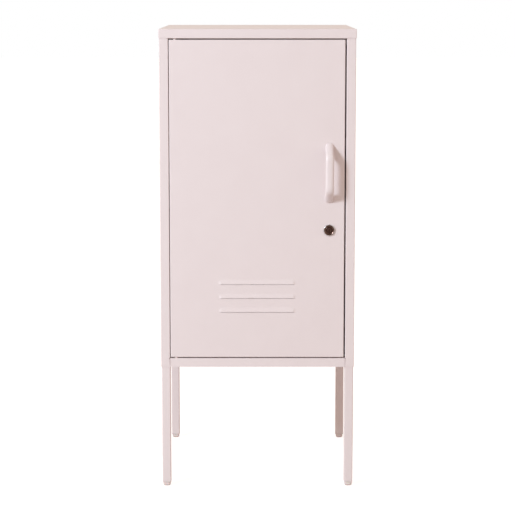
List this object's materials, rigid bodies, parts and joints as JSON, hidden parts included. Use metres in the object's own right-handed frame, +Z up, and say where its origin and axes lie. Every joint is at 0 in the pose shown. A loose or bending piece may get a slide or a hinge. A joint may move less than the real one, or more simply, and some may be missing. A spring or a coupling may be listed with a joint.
{
  "type": "locker cabinet",
  "caption": "Tall powder-coated steel locker cabinet on slim square legs, with a hinged louvred door, bow handle, cam lock and lift-off shelves.",
  "frame": {"origin": "on the floor under the middle of the object's box, which takes in the handle", "axes": "+Z up; the door faces -Y; +X is to the right of someone facing the door"},
  "size_m": [0.425, 0.4928, 1.005],
  "materials": {
    "powder_coat": "fine satin powder coat, pale blush pink",
    "zinc_steel": "bright zinc plate",
    "chrome": "polished nickel and chrome plate",
    "nylon": "moulded nylon, satin",
    "rubber": "moulded rubber, matt",
    "dark_plastic": "moulded plastic, satin"
  },
  "bodies": {
    "cabinet": {"top_panel": "powder_coat", "left_side_panel": "powder_coat", "right_side_panel": "powder_coat", "back_panel": "powder_coat", "bottom_panel": "powder_coat", "top_rail": "powder_coat", "shelf_upright_front_left": "powder_coat", "shelf_upright_front_right": "powder_coat", "shelf_upright_rear_left": "powder_coat", "shelf_upright_rear_right": "powder_coat", "leg_front_left": "powder_coat", "leg_front_right": "powder_coat", "leg_rear_left": "powder_coat", "leg_rear_right": "powder_coat", "shelf_clip_lower_front_left": "zinc_steel", "shelf_clip_lower_front_right": "zinc_steel", "shelf_clip_lower_rear_left": "zinc_steel", "shelf_clip_lower_rear_right": "zinc_steel", "shelf_clip_upper_front_left": "zinc_steel", "shelf_clip_upper_front_right": "zinc_steel", "shelf_clip_upper_rear_left": "zinc_steel", "shelf_clip_upper_rear_right": "zinc_steel", "leg_bolt_front_left_1": "zinc_steel", "leg_bolt_front_left_2": "zinc_steel", "leg_bolt_front_right_1": "zinc_steel", "leg_bolt_front_right_2": "zinc_steel", "leg_bolt_rear_left_1": "zinc_steel", "leg_bolt_rear_left_2": "zinc_steel", "leg_bolt_rear_right_1": "zinc_steel", "leg_bolt_rear_right_2": "zinc_steel", "hinge_pin_upper": "zinc_steel", "hinge_pin_lower": "zinc_steel", "catch_screw_left": "zinc_steel", "catch_screw_right": "zinc_steel", "magnet_catch_plates": "zinc_steel", "foot_front_left": "nylon", "foot_front_right": "nylon", "foot_rear_left": "nylon", "foot_rear_right": "nylon", "cable_grommet": "rubber", "door_bumper_inner": "rubber", "door_bumper_outer": "rubber", "magnet_catch_body": "dark_plastic"},
    "door": {"door_panel": "powder_coat", "door_stiffener": "powder_coat", "handle": "powder_coat", "handle_screw_lower": "zinc_steel", "handle_screw_upper": "zinc_steel", "hinge_bush_upper": "nylon", "hinge_bush_lower": "nylon", "lock_housing": "chrome", "lock_nut": "zinc_steel"},
    "lock_cylinder": {"lock_plug": "chrome", "lock_cam": "zinc_steel", "cam_screw": "zinc_steel"},
    "upper_shelf_tray": {"upper_shelf": "powder_coat"},
    "lower_shelf_tray": {"lower_shelf": "powder_coat"}
  },
  "joints": [
    {"name": "door_hinge", "type": "hinge", "parent": "cabinet", "child": "door", "pos_m": [-0.1777, -0.20735, 0.2905], "axis": [0, 0, -1], "range_deg": [0, 110]},
    {"name": "lock_turn", "type": "hinge", "parent": "door", "child": "lock_cylinder", "pos_m": [0.1555, -0.21235, 0.5714], "axis": [0, 1, 0], "range_deg": [0, 90]},
    {"name": "upper_shelf_lift", "type": "slide", "parent": "cabinet", "child": "upper_shelf_tray", "axis": [0, 0, 1], "range_m": [0, 0.03]},
    {"name": "lower_shelf_lift", "type": "slide", "parent": "cabinet", "child": "lower_shelf_tray", "axis": [0, 0, 1], "range_m": [0, 0.03]}
  ]
}
